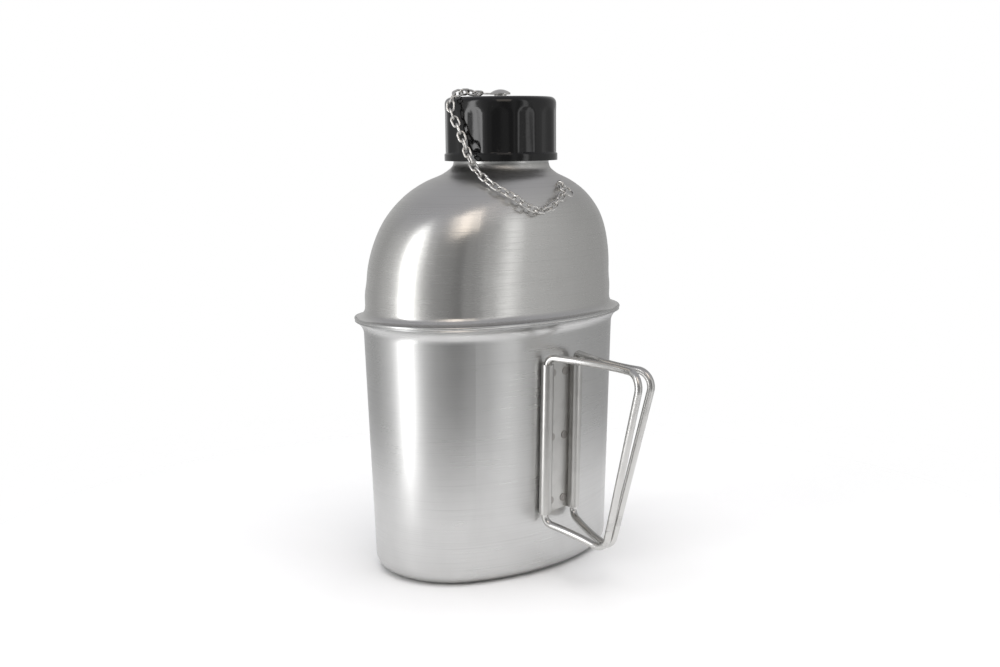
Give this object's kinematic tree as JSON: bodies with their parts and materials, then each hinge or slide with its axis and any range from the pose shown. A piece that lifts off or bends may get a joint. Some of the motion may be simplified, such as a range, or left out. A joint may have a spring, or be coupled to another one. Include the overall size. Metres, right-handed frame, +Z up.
{
  "type": "canteen",
  "caption": "Steel water canteen nested in its drinking cup, with folding wire handles, a ribbed screw cap and a retaining chain",
  "frame": {"origin": "on the ground plane under the cup, on the axis of the neck", "axes": "+Z up, X along the long side of the kidney plan, the handles on the -Y face"},
  "size_m": [0.1254, 0.1254, 0.2013],
  "materials": {
    "cup_body": "fine horizontal brushing",
    "lower_shell": "fine horizontal brushing",
    "upper_shell": "fine horizontal brushing",
    "seam_bead": "fine horizontal brushing",
    "hinge_bracket": "plain stainless",
    "spot_welds": "plain stainless",
    "neck_ring": "plain stainless",
    "chain_lug": "plain stainless",
    "left_handle": "bright drawn stainless",
    "right_handle": "bright drawn stainless",
    "lug_ring": "bright drawn stainless",
    "cap_rivet": "bright drawn stainless",
    "rivet_washer": "bright drawn stainless",
    "swivel_tab": "bright drawn stainless",
    "chain": "bright drawn stainless",
    "cap_shell": "smooth black moulding",
    "cap_gasket": "matte"
  },
  "bodies": {
    "cup": {"cup_body": "cup_body", "hinge_bracket": "hinge_bracket", "spot_welds": "spot_welds"},
    "left_handle": {"left_handle": "left_handle"},
    "right_handle": {"right_handle": "right_handle"},
    "canteen": {"lower_shell": "lower_shell", "upper_shell": "upper_shell", "seam_bead": "seam_bead", "neck_ring": "neck_ring", "chain_lug": "chain_lug", "lug_ring": "lug_ring", "chain_link_11": "chain", "chain_link_12": "chain", "chain_link_13": "chain", "chain_link_14": "chain", "chain_link_15": "chain", "chain_link_16": "chain", "chain_link_17": "chain", "chain_link_18": "chain", "chain_link_19": "chain", "chain_link_20": "chain", "chain_link_21": "chain", "chain_link_22": "chain", "chain_link_23": "chain", "chain_link_24": "chain", "chain_link_25": "chain", "chain_link_26": "chain", "chain_link_27": "chain", "chain_link_28": "chain", "chain_link_29": "chain"},
    "swivel": {"swivel_tab": "swivel_tab", "chain_link_01": "chain", "chain_link_02": "chain", "chain_link_03": "chain", "chain_link_04": "chain", "chain_link_05": "chain", "chain_link_06": "chain", "chain_link_07": "chain", "chain_link_08": "chain", "chain_link_09": "chain", "chain_link_10": "chain"},
    "cap": {"cap_shell": "cap_shell", "cap_gasket": "cap_gasket", "cap_rivet": "cap_rivet", "rivet_washer": "rivet_washer"}
  },
  "joints": [
    {"name": "left_handle_fold", "type": "hinge", "parent": "cup", "child": "left_handle", "pos_m": [-0.0083, -0.03512, 0.05889], "axis": [0, -0.0318, 0.9995], "range_deg": [-112, 0]},
    {"name": "right_handle_fold", "type": "hinge", "parent": "cup", "child": "right_handle", "pos_m": [0.0083, -0.03512, 0.05889], "axis": [0, -0.0318, 0.9995], "range_deg": [0, 114.5]},
    {"name": "canteen_lift", "type": "slide", "parent": "cup", "child": "canteen", "axis": [0, 0, 1], "range_m": [0, 0.112]},
    {"name": "cap_rise", "type": "slide", "parent": "canteen", "child": "swivel", "axis": [0, 0, 1], "range_m": [0, 0.024], "deforming": ["chain_link_01", "chain_link_02", "chain_link_03", "chain_link_04", "chain_link_05", "chain_link_06", "chain_link_07", "chain_link_08", "chain_link_09", "chain_link_10", "chain_link_11", "chain_link_12", "chain_link_13", "chain_link_14", "chain_link_15", "chain_link_16", "chain_link_17", "chain_link_18", "chain_link_19", "chain_link_20", "chain_link_21", "chain_link_22", "chain_link_23", "chain_link_24", "chain_link_25", "chain_link_26", "chain_link_27", "chain_link_28", "chain_link_29"]},
    {"name": "cap_turn", "type": "hinge", "parent": "swivel", "child": "cap", "pos_m": [0, 0, 0.185], "axis": [0, 0, 1], "range_deg": [0, 2160]}
  ],
  "couplings": [
    {"joint": "cap_rise", "follows": "cap_turn", "m_per_rad": 0.0006366}
  ]
}
